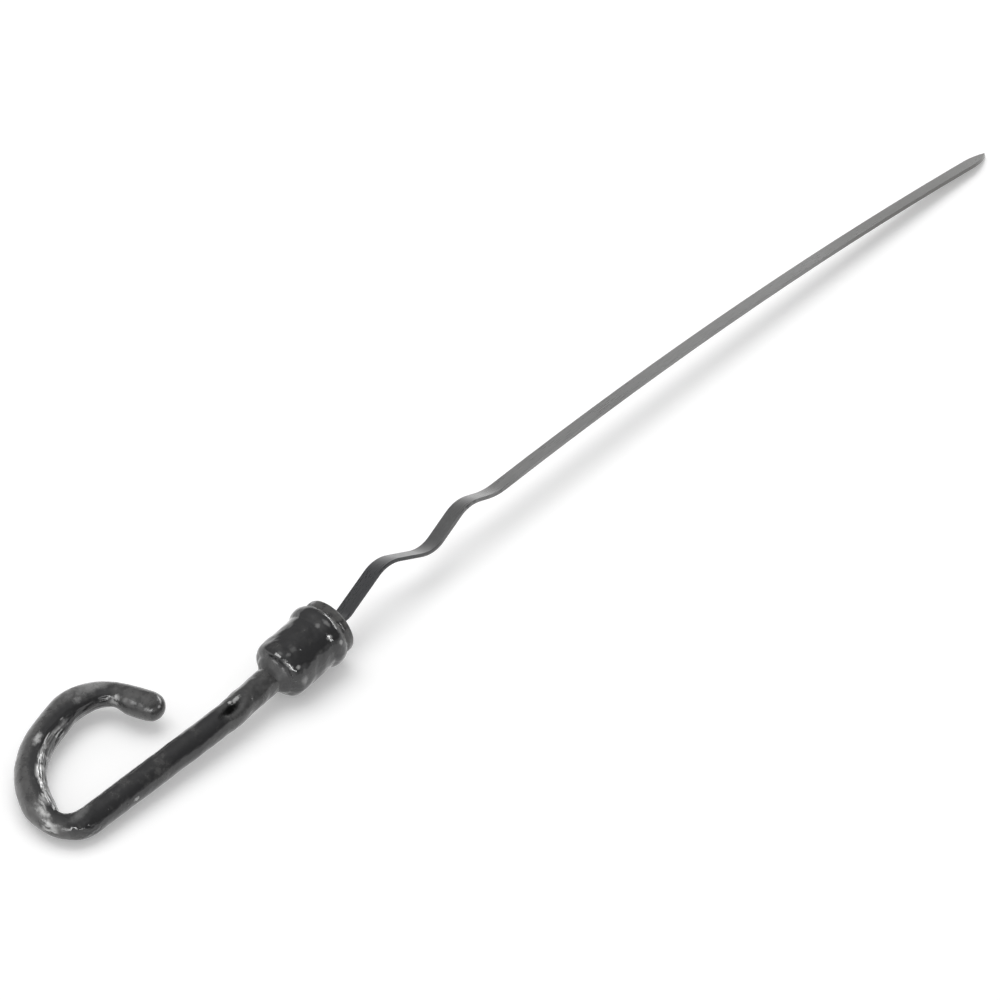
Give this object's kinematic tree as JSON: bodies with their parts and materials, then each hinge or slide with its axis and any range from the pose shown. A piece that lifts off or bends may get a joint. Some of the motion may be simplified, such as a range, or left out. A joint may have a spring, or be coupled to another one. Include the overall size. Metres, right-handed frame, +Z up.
{
  "type": "engine oil dipstick",
  "caption": "Oil dipstick with a bent round-bar hook handle, a beaded stopper cap with a rubber seal, and a flat steel gauge blade with two waves and a slanted tip.",
  "frame": {"origin": "on the cap's axis, at the middle of the lip that enters the guide tube", "axes": "+X along the part towards the tip of the blade, +Z up from the surface it lies on, +Y to the side of the hook"},
  "size_m": [0.3859, 0.0534, 0.0187],
  "materials": {
    "handle_enamel": "thick glossy black enamel with runs and small chips",
    "cap_enamel": "thick glossy black enamel, uneven",
    "seal_rubber": "matt black moulded rubber",
    "blade_steel": "rolled spring steel, dulled grey, dark near the cap"
  },
  "bodies": {
    "root": {"handle": "handle_enamel", "cap": "cap_enamel", "seal": "seal_rubber", "blade": "blade_steel"}
  },
  "joints": []
}
